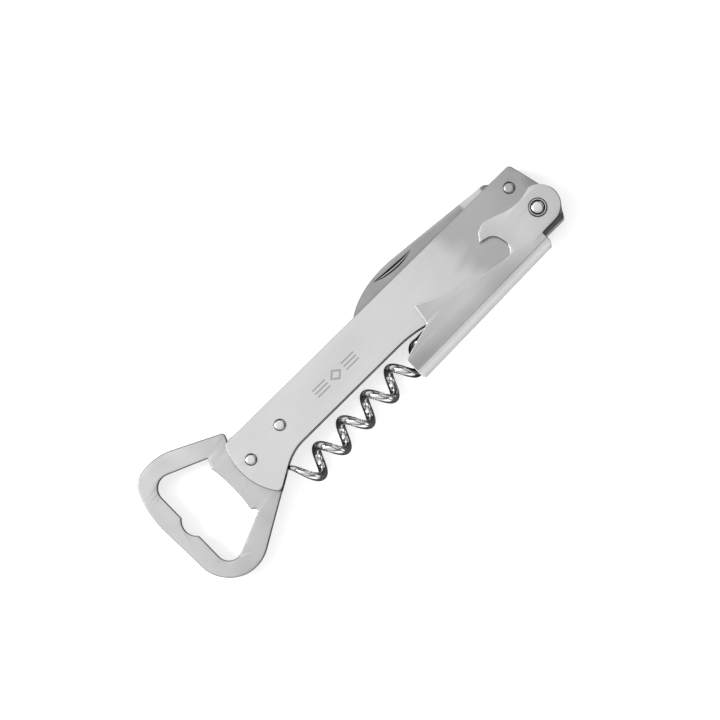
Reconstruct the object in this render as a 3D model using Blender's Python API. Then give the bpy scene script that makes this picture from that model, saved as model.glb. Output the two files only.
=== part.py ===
"""Lever corkscrew of folded and stamped stainless steel.

Two side plates hold everything. At the tail they clamp a crown-cap opener plate with two rivets. At the
head they carry a U-shaped lever outside them and a knife blade between them, and half way along a wire
worm turns on a hidden pin. A leaf spring between the plates bears on the knife's tang.

The model lies on its back. +X runs along the handle from the opener to the head, +Y points to the knife
side, +Z is square to the plates. Places are worked out from the lever's pivot, with z = 0 half way
between the plates, and the last step stands the whole object on z = 0 with its box centred on the origin.
"""

import math

import bmesh
import bpy
from mathutils import Matrix, Vector

MM = 0.001

# Handle: two plates and the space between them
PLATE_THICKNESS = 1.2 * MM
NECK_WIDTH = 13.85 * MM
NECK_DROP = 0.2 * MM  # from the lever's pivot down to the neck's worm-side edge
HEAD_MARGIN = 6.95 * MM  # from the lever's pivot down to the head's worm-side edge
HEAD_REACH = 5.35 * MM  # from the lever's pivot to the end of the head
TAIL_RADIUS = 17.0 * MM  # the plates' rounded end over the opener
TAIL_OVERHANG = 9.85 * MM  # from the worm's tip to the plates' end

# Worm: one wire, wound right-handed, with a forged eye
WIRE_DIAMETER = 2.5 * MM
WORM_DIAMETER = 8.7 * MM
WORM_PITCH = 9.4 * MM
WORM_TURNS = 5.0
SHANK_LENGTH = 13.95 * MM
SHANK_OFFSET = 2.35 * MM  # from the worm's axis to the shank
TIP_FLARE = 1.7 * MM  # how far the point stands outside the helix's mean radius
WORM_LEAN = math.radians(2.58)
WORM_PIVOT_X = -33.2 * MM
WORM_NECK_GAP = 1.15 * MM  # from the neck's worm-side edge to the first full turn
TIP_EDGE_GAP = 0.12 * MM  # from the plates' sloping edge down to the worm's tip

# Lever: one folded sheet, open towards the handle
LEVER_SHEET = 0.9 * MM
LEVER_REACH = 53.6 * MM  # from its pivot to the end of its foot
LEVER_REST = math.radians(1.5)  # how far it stands from the handle's line when shut
LEVER_BEND = 2.6 * MM  # outer radius of the two bends
LOBE_RADIUS = 5.65 * MM
HOOK_REACH = 17.6 * MM  # from the pivot to the point of the cap hook

# Knife
BLADE_THICKNESS = 1.6 * MM
BLADE_LENGTH = 56.0 * MM
BLADE_WIDTH = 7.8 * MM
BLADE_BACK = 0.659 * BLADE_WIDTH  # the straight back above the pivot's line
BLADE_LEAN = math.radians(-5.54)
PLUNGE = -12.6 * MM  # where the grind ends, short of the tang
TANG_RADIUS = 3.7 * MM
KNIFE_PIVOT_X = -1.7 * MM
KNIFE_PIVOT_INSET = 4.45 * MM  # from the handle's knife-side edge

# Crown-cap opener
OPENER_REACH = 25.6 * MM  # from the plates' end to the opener's end
OPENER_CORNER = 10.4 * MM
CAP_CORNER = 3.9 * MM
CAP_MOUTH = 15.7 * MM  # from the lip to the far side of the opening
CAP_WALL = 5.6 * MM  # far side of the opening to the opener's end

# Pins, rivets and washers
RIVET_SHANK = 1.1 * MM
RIVET_RIM = 0.55 * MM  # from the shank out to the edge of the head
RIVET_RISE = 0.7 * MM
LEVER_PIN = 1.5 * MM
LEVER_PIN_RIM = 0.4 * MM  # from its shank out to the edge of its head
WORM_PIN = 1.25 * MM
SPRING_PIN = 0.8 * MM
LEVER_WASHER_RIM = 1.0 * MM
LEVER_WASHER_THICKNESS = 0.5 * MM
BUSH_WALL = 0.7 * MM
WASHER_RIM = 1.4 * MM  # width of the knife's and the worm's washers
WORM_WASHER_THICKNESS = 0.25 * MM

# Fits
SEAT_GAP = 0.1 * MM  # between faces that rest on each other
PIN_FIT = 0.05 * MM  # round a pin that does not turn
RUNNING_FIT = 0.1 * MM  # round a pin that turns
LEVER_SIDE_GAP = 0.3 * MM
WORM_CLEARANCE = 0.25 * MM  # worm to the inside of the lever
SPINE_CLEARANCE = 0.28 * MM
TIP_CLEARANCE = 1.8 * MM  # worm's tip to the opener's tang

# Derived places
PLATE_GAP = WIRE_DIAMETER + 2 * (WORM_WASHER_THICKNESS + 2 * PIN_FIT)
PLATE_INNER = PLATE_GAP / 2
PLATE_OUTER = PLATE_INNER + PLATE_THICKNESS
NECK_BOTTOM = -NECK_DROP
NECK_TOP = NECK_BOTTOM + NECK_WIDTH
NECK_MIDDLE = (NECK_BOTTOM + NECK_TOP) / 2
HEAD_BOTTOM = -HEAD_MARGIN
KNIFE_PIVOT = (KNIFE_PIVOT_X, NECK_TOP - KNIFE_PIVOT_INSET)
HELIX_RADIUS = (WORM_DIAMETER - WIRE_DIAMETER) / 2
HELIX_LENGTH = WORM_TURNS * WORM_PITCH
FIRST_CREST = NECK_BOTTOM - WORM_NECK_GAP + (SHANK_LENGTH + WORM_PITCH) * math.sin(WORM_LEAN)
WORM_PIVOT_Y = FIRST_CREST + SHANK_OFFSET - WORM_DIAMETER / 2
WORM_PIVOT = (WORM_PIVOT_X, WORM_PIVOT_Y)
EASE_LENGTH = 0.8 * WIRE_DIAMETER  # where the helix straightens into the shank
WORM_LENGTH = SHANK_LENGTH + EASE_LENGTH + HELIX_LENGTH
TIP_X = WORM_PIVOT_X - WORM_LENGTH * math.cos(WORM_LEAN)
TIP_Y = WORM_PIVOT_Y - WORM_LENGTH * math.sin(WORM_LEAN) - SHANK_OFFSET + HELIX_RADIUS + TIP_FLARE
TAIL_END = TIP_X - TAIL_OVERHANG
TAIL_RIVET = (TAIL_END + 4.35 * MM, NECK_MIDDLE - 0.9 * MM)
NECK_RIVET = (TAIL_END + 16.3 * MM, NECK_MIDDLE + 0.3 * MM)
SPRING_PINS = ((-25.7 * MM, HEAD_BOTTOM + 1.75 * MM), (-18.7 * MM, HEAD_BOTTOM + 1.75 * MM))
FLARE_ANGLE = math.radians(30.6)  # the opener's worm-side edge, which the plates follow

ARC_STEP = math.radians(9)
ROUND_SEGMENTS = 24

STEEL = ("brushed stainless steel", (0.62, 0.62, 0.61), 0.34)
BLADE_STEEL = ("ground blade steel", (0.5, 0.5, 0.5), 0.3)
POLISHED = ("polished chromed wire", (0.75, 0.75, 0.76), 0.08)
RIVET_STEEL = ("polished rivet steel", (0.66, 0.66, 0.66), 0.2)
SPRING_STEEL = ("spring steel", (0.36, 0.36, 0.37), 0.4)
BRASS = ("washer brass", (0.72, 0.56, 0.28), 0.35)


# ---- outlines ---------------------------------------------------------------------------------------


def arc(centre, radius, start, end, step=ARC_STEP):
    """Points along a circle from one angle to another, in degrees, both ends included."""
    a, b = math.radians(start), math.radians(end)
    count = max(2, math.ceil(abs(b - a) / step))
    angles = (a + (b - a) * i / count for i in range(count + 1))
    return [(centre[0] + radius * math.cos(t), centre[1] + radius * math.sin(t)) for t in angles]


def bends(start, heading, turns):
    """Points along arcs that run on from each other, each a (radius, degrees) turn to the right."""
    points = [start]
    for radius, turn in turns:
        out = math.radians(heading + 90)
        centre = (points[-1][0] - radius * math.cos(out), points[-1][1] - radius * math.sin(out))
        points += arc(centre, radius, heading + 90, heading + 90 - turn)[1:]
        heading -= turn
    return points


def fillet(corner, towards_before, towards_after, cut):
    """The arc that leaves one straight run and joins the next, this far from the corner between them."""
    half = towards_before.angle(towards_after) / 2
    radius = cut * math.tan(half)
    centre = corner + (towards_before + towards_after).normalized() * (radius / math.sin(half))
    first, last = corner + towards_before * cut - centre, corner + towards_after * cut - centre
    turn = first.angle_signed(last)
    count = max(2, math.ceil(abs(turn) / ARC_STEP))
    return [tuple(centre + Matrix.Rotation(-turn * i / count, 2) @ first) for i in range(count + 1)]


def rounded(corners):
    """An outline through corners given as (x, y, fillet radius). Fillets that meet are cut back."""
    places = [Vector(corner[:2]) for corner in corners]
    count = len(places)
    runs = [places[(i + 1) % count] - places[i] for i in range(count)]
    cuts = []
    for i, corner in enumerate(corners):
        half = runs[i].angle(-runs[i - 1]) / 2
        cuts.append(corner[2] / math.tan(half) if len(corner) == 3 else 0.0)
    wanted = [cuts[i] + cuts[(i + 1) % count] for i in range(count)]
    room = [0.98 * run.length / max(cut, run.length) for run, cut in zip(runs, wanted)]
    points = []
    for i in range(count):
        cut = cuts[i] * min(room[i - 1], room[i])
        if cut < 1e-6:
            points.append(tuple(places[i]))
        else:
            points += fillet(places[i], -runs[i - 1].normalized(), runs[i].normalized(), cut)
    return points


def along(start, angle, distance):
    return (start[0] + distance * math.cos(angle), start[1] + distance * math.sin(angle))


# ---- solids -----------------------------------------------------------------------------------------


def finish_mesh(mesh, bm):
    bmesh.ops.remove_doubles(bm, verts=bm.verts, dist=1e-6)
    bmesh.ops.recalc_face_normals(bm, faces=bm.faces)
    bm.to_mesh(mesh)
    bm.free()
    mesh.shade_smooth()
    mesh.set_sharp_from_angle(angle=math.radians(30))
    return mesh


def prism(name, outline, low, high):
    """The outline, extruded from one height to the other."""
    bm = bmesh.new()
    face = bm.faces.new([bm.verts.new((x, y, low)) for x, y in outline])
    raised = bmesh.ops.extrude_face_region(bm, geom=[face])["geom"]
    moved = [v for v in raised if isinstance(v, bmesh.types.BMVert)]
    bmesh.ops.translate(bm, verts=moved, vec=(0, 0, high - low))
    return finish_mesh(bpy.data.meshes.new(name), bm)


def turned(name, profile, closed):
    """A profile of (radius, height) points, spun about Z. A closed profile makes a ring."""
    bm = bmesh.new()
    verts = [bm.verts.new((r, 0, z)) for r, z in profile]
    pairs = list(zip(verts, verts[1:])) + ([(verts[-1], verts[0])] if closed else [])
    edges = [bm.edges.new(pair) for pair in pairs]
    bmesh.ops.spin(
        bm, geom=verts + edges, axis=(0, 0, 1), cent=(0, 0, 0), angle=math.tau,
        steps=ROUND_SEGMENTS, use_merge=True,
    )
    return finish_mesh(bpy.data.meshes.new(name), bm)


def ring(name, bore, rim, low, high):
    return turned(name, [(bore, low), (rim, low), (rim, high), (bore, high)], closed=True)


def round_bar(name, radius, low, high):
    return turned(name, [(0, low), (radius, low), (radius, high), (0, high)], closed=False)


def lofted(name, sections):
    """A solid through closed sections of equal point counts, capped at both ends."""
    bm = bmesh.new()
    loops = [[bm.verts.new(p) for p in section] for section in sections]
    count = len(loops[0])
    for a, b in zip(loops, loops[1:]):
        for i in range(count):
            j = (i + 1) % count
            bm.faces.new((a[i], a[j], b[j], b[i]))
    bm.faces.new(loops[0])
    bm.faces.new(loops[-1])
    return finish_mesh(bpy.data.meshes.new(name), bm)


def wire(name, points, radii):
    """A round wire along the points, as thick at each as its radius says."""
    curve = bpy.data.curves.new(name, "CURVE")
    curve.dimensions = "3D"
    curve.bevel_depth = 1.0
    curve.bevel_resolution = 2
    curve.use_fill_caps = True
    spline = curve.splines.new("POLY")
    spline.points.add(len(points) - 1)
    for point, place, radius in zip(spline.points, points, radii):
        point.co = (*place, 1)
        point.radius = radius
    source = bpy.data.objects.new(name, curve)
    bpy.context.scene.collection.objects.link(source)
    graph = bpy.context.evaluated_depsgraph_get()
    made = bpy.data.meshes.new_from_object(source.evaluated_get(graph))
    bpy.data.objects.remove(source)
    bm = bmesh.new()
    bm.from_mesh(made)
    return finish_mesh(bpy.data.meshes.new(name), bm)


# ---- objects ----------------------------------------------------------------------------------------


def material(spec):
    name, colour, roughness = spec
    if name in bpy.data.materials:
        return bpy.data.materials[name]
    made = bpy.data.materials.new(name)
    made.use_nodes = True
    shader = made.node_tree.nodes["Principled BSDF"]
    shader.inputs["Base Color"].default_value = (*colour, 1)
    shader.inputs["Roughness"].default_value = roughness
    shader.inputs["Metallic"].default_value = 1
    return made


def piece(name, mesh, spec, parent, place=(0, 0), turn=0.0):
    """A named part of the object, its origin at a place in the handle's plane."""
    obj = bpy.data.objects.new(name, mesh)
    bpy.context.scene.collection.objects.link(obj)
    obj.parent = parent
    obj.location = (place[0], place[1], 0)
    obj.rotation_euler = (0, 0, turn)
    obj.data.materials.append(material(spec))
    return obj


def axis(name, parent, place=(0, 0), turn=0.0):
    """An empty on a joint's axis, which the moving pieces hang from."""
    empty = bpy.data.objects.new(name, None)
    bpy.context.scene.collection.objects.link(empty)
    empty.parent = parent
    empty.location = (place[0], place[1], 0)
    empty.rotation_euler = (0, 0, turn)
    return empty


def shape(target, operation, mesh, place=(0, 0), turn=0.0):
    """Cuts, joins or trims the target by a helper mesh placed in the target's own frame."""
    helper = bpy.data.objects.new(f"{target.name}_{operation.lower()}", mesh)
    bpy.context.scene.collection.objects.link(helper)
    helper.parent = target
    helper.location = (place[0], place[1], 0)
    helper.rotation_euler = (0, 0, turn)
    helper.hide_render = True
    helper.display_type = "WIRE"
    modifier = target.modifiers.new(operation.lower(), "BOOLEAN")
    modifier.operation = operation
    modifier.solver = "EXACT"
    modifier.object = helper


def drill(target, place, radius):
    reach = PLATE_OUTER + 4 * LEVER_SHEET
    shape(target, "DIFFERENCE", round_bar("drill", radius, -reach, reach), place)


# ---- handle -----------------------------------------------------------------------------------------


def flare_corner():
    """Where the neck's worm-side edge would meet the opener's straight worm-side edge."""
    drop = NECK_BOTTOM - TIP_Y - TIP_EDGE_GAP
    return (TIP_X + drop / math.tan(FLARE_ANGLE), NECK_BOTTOM)


def heel_angle(tail_centre):
    """Where round the tail's arc the sloping worm-side edge meets it, in degrees."""
    from_centre = Vector(flare_corner()) - Vector(tail_centre)
    away = Vector((-math.cos(FLARE_ANGLE), -math.sin(FLARE_ANGLE)))
    middle = -from_centre.dot(away)
    reach = middle + math.sqrt(TAIL_RADIUS**2 - from_centre.length_squared + middle**2)
    heel = from_centre + away * reach
    return math.degrees(math.atan2(heel.y, heel.x)) % 360


def plate_outline():
    flare = flare_corner()
    tail_centre = (TAIL_END + TAIL_RADIUS, NECK_MIDDLE - 1.5 * MM)
    rise = (NECK_TOP - tail_centre[1]) / TAIL_RADIUS
    top_angle = 180 - math.degrees(math.asin(rise))
    end = arc(tail_centre, TAIL_RADIUS, top_angle, heel_angle(tail_centre))
    sweep = 20.0  # degrees, the slope between the neck and the head
    shoulder_x = WORM_PIVOT_X - 13.0 * MM
    shoulder_run = (NECK_BOTTOM - HEAD_BOTTOM) / math.tan(math.radians(sweep))
    corners = [
        (2.5 * MM, NECK_TOP, 1.3 * MM),
        (end[0][0], end[0][1], 0.8 * MM),
        *end[1:-1],
        (*end[-1], 0.4 * MM),
        (*flare, 15.0 * MM),
        (shoulder_x, NECK_BOTTOM, 34.0 * MM),
        (shoulder_x + shoulder_run, HEAD_BOTTOM, 8.0 * MM),
        (HEAD_REACH - 2.25 * MM, HEAD_BOTTOM, 0.6 * MM),
        (HEAD_REACH, HEAD_BOTTOM + 3.85 * MM, 1.5 * MM),
        (HEAD_REACH, HEAD_BOTTOM + 8.75 * MM, 4.0 * MM),
    ]
    return rounded(corners)


def side_plate(name, side, root):
    """One stamped plate, drilled for every pin and rivet. side is 1 for the front and -1 for the back."""
    low, high = sorted((side * PLATE_INNER, side * PLATE_OUTER))
    plate = piece(name, prism(name, plate_outline(), low, high), STEEL, root)
    for place, radius in (
        ((0, 0), LEVER_PIN),
        (KNIFE_PIVOT, RIVET_SHANK),
        (WORM_PIVOT, WORM_PIN),
        (TAIL_RIVET, RIVET_SHANK),
        (NECK_RIVET, RIVET_SHANK),
        (SPRING_PINS[0], SPRING_PIN),
        (SPRING_PINS[1], SPRING_PIN),
    ):
        drill(plate, place, radius + PIN_FIT)
    return plate


def rivet_profile(shank, rim, seat):
    """Half of a rivet, from under its head out to its dome, which has a small flat on top."""
    head = shank + rim
    flat = 0.45 * head
    lip = 0.25 * RIVET_RISE
    dome = [
        (flat + (head - flat) * math.cos(t), seat + lip + (RIVET_RISE - lip) * math.sin(t))
        for t in (math.pi / 2 * i / 5 for i in range(6))
    ]
    return [(shank, seat), (head, seat), *dome, (0, seat + RIVET_RISE)]


def rivet(name, shank, rim, seat, parent, place):
    """A solid rivet with a dome on both ends, its heads lying on faces at seat and -seat."""
    upper = rivet_profile(shank, rim, seat + SEAT_GAP)
    profile = [(r, -z) for r, z in reversed(upper)] + upper
    return piece(name, turned(name, profile, closed=False), RIVET_STEEL, parent, place)


def opener_plate(root):
    """The crown-cap opener: a loop with a lip and a notch, and a tang that the plates clamp."""
    name = "bottle_opener_plate"
    half = PLATE_INNER - SEAT_GAP
    far = TAIL_END - OPENER_REACH
    middle = NECK_MIDDLE
    flare = flare_corner()
    heel_run = (flare[0] - TIP_X + TIP_CLEARANCE) / math.cos(FLARE_ANGLE)
    heel = along(flare, FLARE_ANGLE + math.pi, heel_run)
    shoulder = (TAIL_END + 4.1 * MM, NECK_TOP + 2.5 * MM)

    # The lower corner is an arc that touches the end and the worm-side edge.
    lower_x = far + 0.5 * MM + OPENER_CORNER
    edge_y = flare[1] + (lower_x - flare[0]) * math.tan(FLARE_ANGLE)
    lower = (lower_x, edge_y + OPENER_CORNER / math.cos(FLARE_ANGLE))
    lower_arc = arc(lower, OPENER_CORNER, 177, 270 + math.degrees(FLARE_ANGLE))

    # The upper corner's arcs run on into the straight edge that ends at the shoulder.
    upper_slope = 26.1
    upper_arcs = bends((far, 0), 90, ((30.0 * MM, 22), (5.5 * MM, 56), (16.0 * MM, 12 + upper_slope)))
    edge_end = upper_arcs[-1]
    edge_y = shoulder[1] + (shoulder[0] - edge_end[0]) * math.tan(math.radians(upper_slope))
    upper_arcs = [(x, y + edge_y - edge_end[1]) for x, y in upper_arcs]

    tang = NECK_RIVET[0] + 4.0 * MM
    body = rounded([
        (*shoulder, 0.8 * MM),
        *upper_arcs[::-1],
        *lower_arc,
        (*heel, 0.5 * MM),
        (heel[0] + 2.5 * MM, middle - 5.0 * MM, 1.0 * MM),
        (tang, middle - 4.3 * MM, 1.5 * MM),
        (tang, middle + 4.3 * MM, 1.5 * MM),
        (TAIL_END + 5.5 * MM, middle + 5.1 * MM, 0.8 * MM),
        (TAIL_END + 2.9 * MM, NECK_TOP - 0.1 * MM, 0.2 * MM),
    ])
    opener = piece(name, prism(name, body, -half, half), STEEL, root)
    shape(opener, "DIFFERENCE", prism("cap_opening", cap_opening(far, middle), -2 * half, 2 * half))
    for place in (TAIL_RIVET, NECK_RIVET):
        drill(opener, place, RIVET_SHANK + PIN_FIT)
    return opener


def cap_opening(far, middle):
    """The hole that takes a crown cap: a curved lip with two teeth, and a notch opposite it."""
    back = far + CAP_WALL
    lip = back + CAP_MOUTH
    axis_y = middle - 1.8 * MM
    lip_radius, lip_half = 45.0 * MM, 9.6
    notch_radius, notch_depth = 4.2 * MM, 1.6 * MM
    notch = (back - notch_depth + notch_radius, axis_y - 0.3 * MM)
    notch_half = math.degrees(math.acos((notch_radius - notch_depth) / notch_radius))
    curve = arc((lip - lip_radius, axis_y - 0.9 * MM), lip_radius, -lip_half, lip_half, math.radians(3))
    recess = arc(notch, notch_radius, 180 - notch_half, 180 + notch_half)
    return rounded([
        (*curve[0], 0.5 * MM),
        *curve[1:-1],
        (*curve[-1], 0.5 * MM),
        (lip + 0.7 * MM, axis_y + 9.4 * MM, 0.6 * MM),
        (back, axis_y + 16.3 * MM, CAP_CORNER),
        (*recess[0], 0.5 * MM),
        *recess[1:-1],
        (*recess[-1], 0.5 * MM),
        (back, axis_y - 17.1 * MM, CAP_CORNER),
        (lip + 0.45 * MM, axis_y - 10.2 * MM, 0.4 * MM),
        (lip + 0.55 * MM, axis_y - 9.3 * MM, 0.4 * MM),
    ])


def back_spring(root):
    """A leaf spring cut from strip: a pad held by two pins, and an arm that bears on the knife's tang."""
    name = "back_spring"
    half = PLATE_INNER - SEAT_GAP
    left, right = SPRING_PINS
    pad_low, pad_high = HEAD_BOTTOM + 0.5 * MM, HEAD_BOTTOM + 3.0 * MM
    nose = along(KNIFE_PIVOT, math.radians(-112), TANG_RADIUS + 2 * SEAT_GAP)
    outline = rounded([
        (left[0] - 2.2 * MM, pad_low, 0.6 * MM),
        (right[0] + 3.5 * MM, pad_low, 4.0 * MM),
        (nose[0] + 0.2 * MM, nose[1] - 2.0 * MM, 0.5 * MM),
        (nose[0] + 0.1 * MM, nose[1] - 0.25 * MM, 0.4 * MM),
        (nose[0] - 1.3 * MM, nose[1] - 0.15 * MM, 0.4 * MM),
        (right[0] + 2.5 * MM, pad_high, 3.0 * MM),
        (left[0] - 2.2 * MM, pad_high, 0.6 * MM),
    ])
    spring = piece(name, prism(name, outline, -half, half), SPRING_STEEL, root)
    for place in SPRING_PINS:
        drill(spring, place, SPRING_PIN + PIN_FIT)
    return spring


# ---- lever ------------------------------------------------------------------------------------------


def worm_bottom(distance):
    """How far below the lever's pivot the worm's underside lies, this far along it from its own pivot."""
    return -WORM_PIVOT_Y + distance * math.sin(WORM_LEAN) + SHANK_OFFSET + WORM_DIAMETER / 2


def spine_drop():
    """From the lever's pivot to its spine's outside, so that the shut lever clears the worm's last turn."""
    foot = LEVER_REACH + WORM_PIVOT_X
    below = worm_bottom(foot) + SPINE_CLEARANCE + LEVER_SHEET
    return below - LEVER_REACH * math.sin(LEVER_REST)


HEAD_HALF = PLATE_OUTER + LEVER_SIDE_GAP + LEVER_SHEET
FOOT_HALF = WORM_DIAMETER / 2 + WORM_CLEARANCE + LEVER_SHEET
SPINE = spine_drop()


def lever_half_width(x):
    """Half the lever's outside width: close to the plates at its pivot, clear of the worm at its foot."""
    start, end = -7.0 * MM, -30.0 * MM
    share = min(1.0, max(0.0, (x - start) / (end - start)))
    return HEAD_HALF + (FOOT_HALF - HEAD_HALF) * share * share * (3 - 2 * share)


def channel_section(x, top):
    """The folded sheet's section at x: a U whose bends have equal wall, open upwards."""
    wide = lever_half_width(x)
    outer = [(top, wide)]
    for centre_z, start in ((wide - LEVER_BEND, 0), (LEVER_BEND - wide, 90)):
        for i in range(6):
            t = math.radians(start + 90 * i / 5)
            y = LEVER_BEND - SPINE - LEVER_BEND * math.sin(t)
            outer.append((y, centre_z + LEVER_BEND * math.cos(t)))
    outer.append((top, -wide))
    inner_bend = LEVER_BEND - LEVER_SHEET
    inner = [(top, wide - LEVER_SHEET)]
    for centre_z, start in ((wide - LEVER_BEND, 0), (LEVER_BEND - wide, 90)):
        for i in range(6):
            t = math.radians(start + 90 * i / 5)
            y = LEVER_BEND - SPINE - inner_bend * math.sin(t)
            inner.append((y, centre_z + inner_bend * math.cos(t)))
    inner.append((top, LEVER_SHEET - wide))
    return [(x, y, z) for y, z in outer + inner[::-1]]


def lever_profile():
    """The lever seen from the front: lobe, wave, cap hook, long sweep, spur, step and foot."""
    foot = -LEVER_REACH
    step = foot + 10.8 * MM
    hook = -HOOK_REACH
    lobe = arc((0.85 * MM, 0), LOBE_RADIUS, -90, 76)
    spine_end = -3.9 * MM
    under = -SPINE - 1.0 * MM
    return rounded([
        *lobe,
        (-3.4 * MM, 4.3 * MM, 12.0 * MM),
        (hook + 4.4 * MM, 7.95 * MM, 5.0 * MM),
        (hook + 1.8 * MM, 6.85 * MM, 2.0 * MM),
        (hook, 4.5 * MM, 0.15 * MM),
        (hook + 4.2 * MM, 3.5 * MM, 3.4 * MM),
        (hook + 5.2 * MM, -1.0 * MM, 3.0 * MM),
        (hook + 3.6 * MM, -3.6 * MM, 1.6 * MM),
        (hook - 10.6 * MM, -1.56 * MM, 63.0 * MM),
        (step + 1.1 * MM, 5.3 * MM, 0.3 * MM),
        (step, -0.4 * MM, 0.8 * MM),
        (foot, -3.15 * MM, 0.5 * MM),
        (foot - 0.1 * MM, -SPINE + 0.9 * MM, 0),
        (foot + 0.5 * MM, -SPINE, 0),
        (foot + 0.5 * MM, under, 0),
        (spine_end - 1.4 * MM, under, 0),
        (spine_end - 1.4 * MM, -SPINE, 0.3 * MM),
        (spine_end - 0.15 * MM, -SPINE + 1.0 * MM, 0.5 * MM),
        (spine_end, -LOBE_RADIUS, 0.3 * MM),
    ])


def lever(pivot):
    name = "lever"
    top = 12.0 * MM
    ends = (-LEVER_REACH - 3.0 * MM, 12.0 * MM)
    stations = [ends[0]] + [(-30.0 + 2.3 * i) * MM for i in range(11)] + [ends[1]]
    channel = lofted(name, [channel_section(x, top) for x in stations])
    made = piece(name, channel, STEEL, pivot)
    reach = FOOT_HALF + 2.0 * MM
    shape(made, "INTERSECT", prism("lever_profile", lever_profile(), -reach, reach))
    shape(made, "DIFFERENCE", round_bar("lever_bore", LEVER_PIN + RUNNING_FIT, -reach, reach))
    return made


def lever_pivot_parts(root, pivot):
    """The rivet, its two washers outside the lever, and the bush that keeps the plates apart."""
    flank = HEAD_HALF + SEAT_GAP
    outside = flank + LEVER_WASHER_THICKNESS
    rivet("lever_pivot_rivet", LEVER_PIN, LEVER_PIN_RIM, outside, root, (0, 0))
    bore = LEVER_PIN + RUNNING_FIT
    for side, word in ((1, "front"), (-1, "back")):
        name = f"lever_washer_{word}"
        low, high = sorted((side * flank, side * outside))
        piece(name, ring(name, bore, bore + LEVER_WASHER_RIM, low, high), RIVET_STEEL, pivot)
    half = PLATE_INNER - SEAT_GAP
    bush = ring("lever_spacer_bush", bore, bore + BUSH_WALL, -half, half)
    piece("lever_spacer_bush", bush, SPRING_STEEL, root)


# ---- worm -------------------------------------------------------------------------------------------


def smooth(share):
    share = min(1.0, max(0.0, share))
    return share * share * (3 - 2 * share)


def worm_point(distance):
    """The wire's middle, this far along from the pivot: a shank, then the helix up to its flared tip."""
    if distance <= SHANK_LENGTH:
        return (-distance, 0, 0)
    run = distance - SHANK_LENGTH
    eased = EASE_LENGTH
    if run < 2 * eased:
        turned_by = run * run / (4 * eased)
    else:
        turned_by = run - eased
    phase = -math.tau * turned_by / WORM_PITCH
    radius = SHANK_OFFSET + (HELIX_RADIUS - SHANK_OFFSET) * smooth(run / (2 * eased))
    radius += TIP_FLARE * smooth(1 - (WORM_LENGTH - distance) / (WORM_PITCH / 2))
    return (-distance, radius * math.cos(phase) - SHANK_OFFSET, radius * math.sin(phase))


def wire_radius(distance):
    """Full thickness, but for the last part of a turn, which tapers to the blunt point."""
    taper, point = 0.42 * WORM_PITCH, 0.42 * MM
    left = (WORM_LENGTH - distance) / taper
    full = WIRE_DIAMETER / 2
    return full if left >= 1 else point + (full - point) * left**0.7


def worm(pivot):
    name = "worm"
    neck = WORM_PIN + RUNNING_FIT + WIRE_DIAMETER / 2
    step = WORM_PITCH / 18
    start = neck
    helix_steps = math.ceil((WORM_LENGTH - SHANK_LENGTH) / step)
    helix = [SHANK_LENGTH + (WORM_LENGTH - SHANK_LENGTH) * i / helix_steps for i in range(helix_steps + 1)]
    distances = [start, (start + SHANK_LENGTH) / 2, *helix]
    made = piece(
        name, wire(name, [worm_point(d) for d in distances], [wire_radius(d) for d in distances]),
        POLISHED, pivot,
    )
    shape(made, "UNION", worm_eye(neck))
    return made


def worm_eye(mean):
    """The ring forged at the end of the shank."""
    section = [
        (mean + WIRE_DIAMETER / 2 * math.cos(t), WIRE_DIAMETER / 2 * math.sin(t))
        for t in (math.tau * (i + 0.5) / 10 for i in range(10))
    ]
    return turned("worm_eye", section, closed=True)


def worm_pivot_parts(root, pivot):
    """The pin that the worm turns on, flush with the plates, and a thin washer on each side of its eye."""
    name = "worm_pivot_pin"
    half = PLATE_OUTER - PIN_FIT
    piece(name, round_bar(name, WORM_PIN, -half, half), RIVET_STEEL, root, WORM_PIVOT)
    bore = WORM_PIN + RUNNING_FIT
    inner = WIRE_DIAMETER / 2 + PIN_FIT
    outer = PLATE_INNER - PIN_FIT
    for side, word in ((1, "front"), (-1, "back")):
        name = f"worm_washer_{word}"
        low, high = sorted((side * inner, side * outer))
        piece(name, ring(name, bore, bore + WASHER_RIM, low, high), BRASS, root, WORM_PIVOT)


# ---- knife ------------------------------------------------------------------------------------------


def blade_outline():
    """The blade seen from the front, its point towards -X, its straight edge below and its back above."""
    edge = BLADE_BACK - BLADE_WIDTH
    bow_run, bow_rise = 21.5 * MM, 12.0 * MM  # half axes of the ellipse that the back follows to the point
    drop = BLADE_WIDTH / bow_rise
    reach = bow_run * math.sqrt(1 - (1 - min(drop, 0.97)) ** 2)
    bow_start = -BLADE_LENGTH + reach
    bow = []
    for i in range(13):
        d = reach * i / 12
        bow.append((bow_start - d, BLADE_BACK - bow_rise * (1 - math.sqrt(1 - (d / bow_run) ** 2))))
    tang = arc((0, 0), TANG_RADIUS, 95, -140)
    return rounded([
        *tang[::-1],
        (-3.3 * MM, TANG_RADIUS + 0.4 * MM, 1.0 * MM),
        (-4.9 * MM, BLADE_BACK, 1.0 * MM),
        *bow[:-1],
        (-BLADE_LENGTH, edge, 0),
        (-13.2 * MM, edge, 0.3 * MM),
        (PLUNGE, edge + 0.7 * MM, 0.5 * MM),
    ])


def grind_cutter(side):
    """A wedge that thins the blade from its back to its edge, up to the plunge line."""
    edge = BLADE_BACK - BLADE_WIDTH
    full, thin = BLADE_THICKNESS / 2, 0.12 * MM
    slope = (full - thin) / (BLADE_WIDTH - 0.8 * MM)
    low, high = edge - 1.0 * MM, BLADE_BACK - 0.8 * MM
    far = full + 1.0 * MM
    section = [(low, thin - 1.0 * MM * slope), (high, full), (low, far)]
    reach = (-BLADE_LENGTH - 1.0 * MM, PLUNGE)
    return lofted("grind", [[(x, y, side * z) for y, z in section] for x in reach])


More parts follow.
